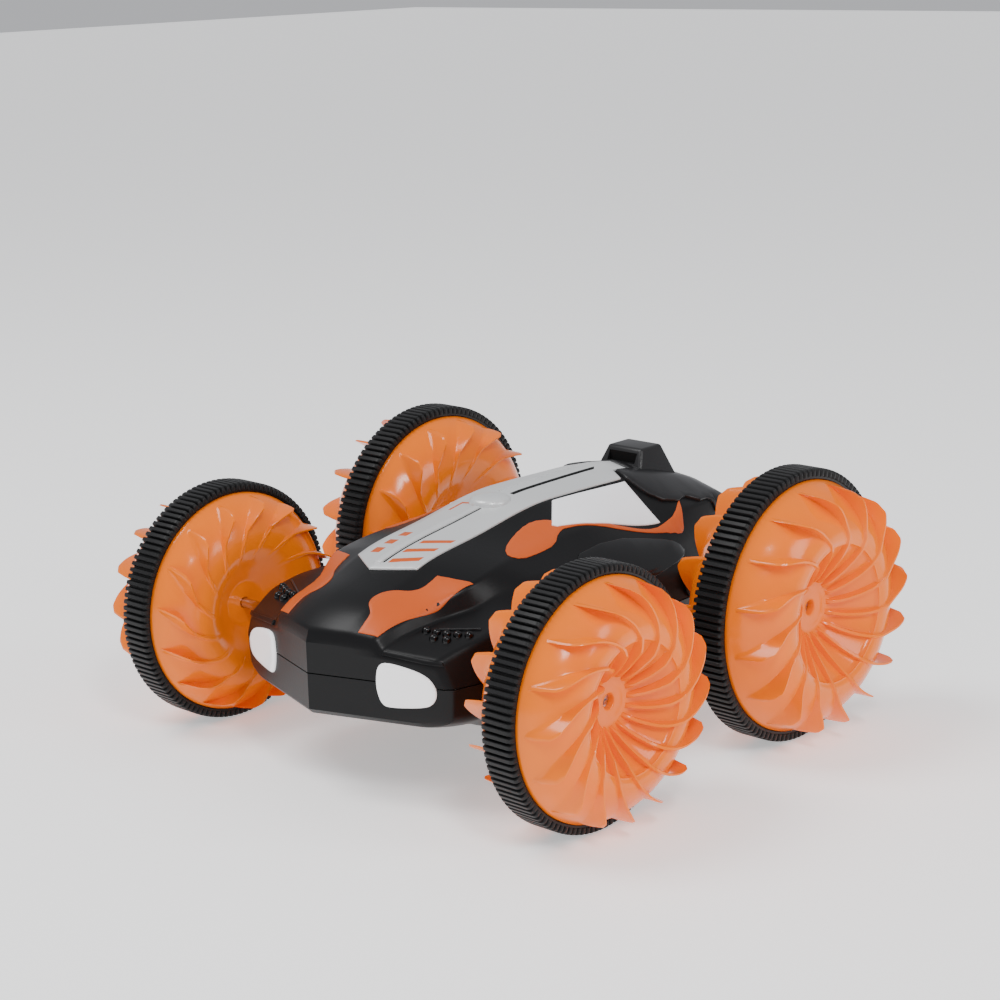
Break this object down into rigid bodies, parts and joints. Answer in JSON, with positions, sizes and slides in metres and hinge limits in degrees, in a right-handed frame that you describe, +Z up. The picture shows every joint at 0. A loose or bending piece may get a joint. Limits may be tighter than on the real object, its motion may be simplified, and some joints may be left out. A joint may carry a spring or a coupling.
{
  "type": "rc stunt car",
  "caption": "Double-sided amphibious toy stunt car: low black body with silver spine, finned orange bowl wheels with ribbed tyres, and a geared motor drive for each side.",
  "frame": {"origin": "on the ground under the middle of the car", "axes": "+X towards the left wheels, -Y towards the nose, +Z up"},
  "size_m": [0.248, 0.2246, 0.1085],
  "materials": {
    "tyre_rubber": "matt black ribbed rubber",
    "orange_bowl": "glossy moulded orange",
    "steel": "plain bright steel",
    "gear_nylon": "natural nylon",
    "brass": "plain brass",
    "black_body": "fine satin black",
    "black_cowl": "fine satin dark grey",
    "seal_rubber": "soft black rubber",
    "silver_paint": "satin silver paint on plastic",
    "white_panel": "white with fine brushed lines",
    "headlight_white": "milky white lens",
    "circuit_board": "green solder mask",
    "battery_wrap": "blue shrink wrap",
    "orange_switch": "glossy orange"
  },
  "bodies": {
    "root": {"gear_frame_left": "black_body", "window_left": "white_panel", "headlight_left": "headlight_white", "gear_frame_right": "black_body", "window_right": "white_panel", "headlight_right": "headlight_white", "upper_shell": "black_body", "lower_shell": "black_body", "shell_gasket": "seal_rubber", "spine_panel": "silver_paint", "rear_cowl": "black_cowl", "roof_scoop": "black_cowl", "led_boards": "circuit_board", "battery_cells": "battery_wrap", "battery_door": "black_body", "door_seal": "seal_rubber", "control_board": "circuit_board", "motor_cans": "steel", "gear_pins": "steel", "axle_bushes": "brass", "axle_seals": "seal_rubber", "screws": "steel", "switch_body": "black_body"},
    "wheel_front_left": {"tyre_front_left": "tyre_rubber", "outer_bowl_front_left": "orange_bowl", "inner_bowl_front_left": "orange_bowl", "axle_front_left": "steel", "axle_gear_front_left": "gear_nylon", "wheel_screw_front_left": "steel"},
    "wheel_rear_left": {"tyre_rear_left": "tyre_rubber", "outer_bowl_rear_left": "orange_bowl", "inner_bowl_rear_left": "orange_bowl", "axle_rear_left": "steel", "axle_gear_rear_left": "gear_nylon", "wheel_screw_rear_left": "steel"},
    "front_idler_left": {"front_idler_left": "gear_nylon"},
    "middle_idler_left": {"middle_idler_left": "gear_nylon"},
    "rear_idler_left": {"rear_idler_left": "gear_nylon"},
    "reduction_gear_left": {"reduction_gear_left": "gear_nylon"},
    "motor_rotor_left": {"motor_shaft_left": "steel", "motor_pinion_left": "brass"},
    "wheel_front_right": {"tyre_front_right": "tyre_rubber", "outer_bowl_front_right": "orange_bowl", "inner_bowl_front_right": "orange_bowl", "axle_front_right": "steel", "axle_gear_front_right": "gear_nylon", "wheel_screw_front_right": "steel"},
    "wheel_rear_right": {"tyre_rear_right": "tyre_rubber", "outer_bowl_rear_right": "orange_bowl", "inner_bowl_rear_right": "orange_bowl", "axle_rear_right": "steel", "axle_gear_rear_right": "gear_nylon", "wheel_screw_rear_right": "steel"},
    "front_idler_right": {"front_idler_right": "gear_nylon"},
    "middle_idler_right": {"middle_idler_right": "gear_nylon"},
    "rear_idler_right": {"rear_idler_right": "gear_nylon"},
    "reduction_gear_right": {"reduction_gear_right": "gear_nylon"},
    "motor_rotor_right": {"motor_shaft_right": "steel", "motor_pinion_right": "brass"},
    "power_switch": {"switch_slider": "orange_switch"}
  },
  "joints": [
    {"name": "wheel_front_left_spin", "type": "hinge", "parent": "root", "child": "wheel_front_left", "pos_m": [0.0976, -0.06332, 0.049], "axis": [1, 0, 0], "continuous": true},
    {"name": "wheel_rear_left_spin", "type": "hinge", "parent": "root", "child": "wheel_rear_left", "pos_m": [0.0976, 0.05807, 0.05425], "axis": [1, 0, 0], "continuous": true},
    {"name": "front_idler_left_spin", "type": "hinge", "parent": "root", "child": "front_idler_left", "pos_m": [0.0337, -0.03385, 0.05028], "axis": [1, 0, 0], "continuous": true},
    {"name": "middle_idler_left_spin", "type": "hinge", "parent": "root", "child": "middle_idler_left", "pos_m": [0.0337, -0.00337, 0.05159], "axis": [1, 0, 0], "continuous": true},
    {"name": "rear_idler_left_spin", "type": "hinge", "parent": "root", "child": "rear_idler_left", "pos_m": [0.0337, 0.0271, 0.05291], "axis": [1, 0, 0], "continuous": true},
    {"name": "reduction_gear_left_spin", "type": "hinge", "parent": "root", "child": "reduction_gear_left", "pos_m": [0.0337, 0.00948, 0.03627], "axis": [1, 0, 0], "continuous": true},
    {"name": "motor_left_spin", "type": "hinge", "parent": "root", "child": "motor_rotor_left", "pos_m": [0.0294, -0.00134, 0.04252], "axis": [1, 0, 0], "continuous": true},
    {"name": "wheel_front_right_spin", "type": "hinge", "parent": "root", "child": "wheel_front_right", "pos_m": [-0.0976, -0.06332, 0.049], "axis": [1, 0, 0], "continuous": true},
    {"name": "wheel_rear_right_spin", "type": "hinge", "parent": "root", "child": "wheel_rear_right", "pos_m": [-0.0976, 0.05807, 0.05425], "axis": [1, 0, 0], "continuous": true},
    {"name": "front_idler_right_spin", "type": "hinge", "parent": "root", "child": "front_idler_right", "pos_m": [-0.0337, -0.03385, 0.05028], "axis": [1, 0, 0], "continuous": true},
    {"name": "middle_idler_right_spin", "type": "hinge", "parent": "root", "child": "middle_idler_right", "pos_m": [-0.0337, -0.00337, 0.05159], "axis": [1, 0, 0], "continuous": true},
    {"name": "rear_idler_right_spin", "type": "hinge", "parent": "root", "child": "rear_idler_right", "pos_m": [-0.0337, 0.0271, 0.05291], "axis": [1, 0, 0], "continuous": true},
    {"name": "reduction_gear_right_spin", "type": "hinge", "parent": "root", "child": "reduction_gear_right", "pos_m": [-0.0337, 0.00948, 0.03627], "axis": [1, 0, 0], "continuous": true},
    {"name": "motor_right_spin", "type": "hinge", "parent": "root", "child": "motor_rotor_right", "pos_m": [-0.0294, -0.00134, 0.04252], "axis": [1, 0, 0], "continuous": true},
    {"name": "power_switch_slide", "type": "slide", "parent": "root", "child": "power_switch", "axis": [0, 1, 0], "range_m": [0, 0.004]}
  ],
  "couplings": [
    {"joint": "front_idler_left_spin", "follows": "wheel_front_left_spin", "ratio": -0.90323},
    {"joint": "middle_idler_left_spin", "follows": "wheel_front_left_spin", "ratio": 0.93333},
    {"joint": "rear_idler_left_spin", "follows": "wheel_front_left_spin", "ratio": -0.90323},
    {"joint": "wheel_rear_left_spin", "follows": "wheel_front_left_spin", "ratio": 0.90323},
    {"joint": "reduction_gear_left_spin", "follows": "wheel_front_left_spin", "ratio": -2.8},
    {"joint": "motor_left_spin", "follows": "wheel_front_left_spin", "ratio": 11.2},
    {"joint": "front_idler_right_spin", "follows": "wheel_front_right_spin", "ratio": -0.90323},
    {"joint": "middle_idler_right_spin", "follows": "wheel_front_right_spin", "ratio": 0.93333},
    {"joint": "rear_idler_right_spin", "follows": "wheel_front_right_spin", "ratio": -0.90323},
    {"joint": "wheel_rear_right_spin", "follows": "wheel_front_right_spin", "ratio": 0.90323},
    {"joint": "reduction_gear_right_spin", "follows": "wheel_front_right_spin", "ratio": -2.8},
    {"joint": "motor_right_spin", "follows": "wheel_front_right_spin", "ratio": 11.2}
  ]
}
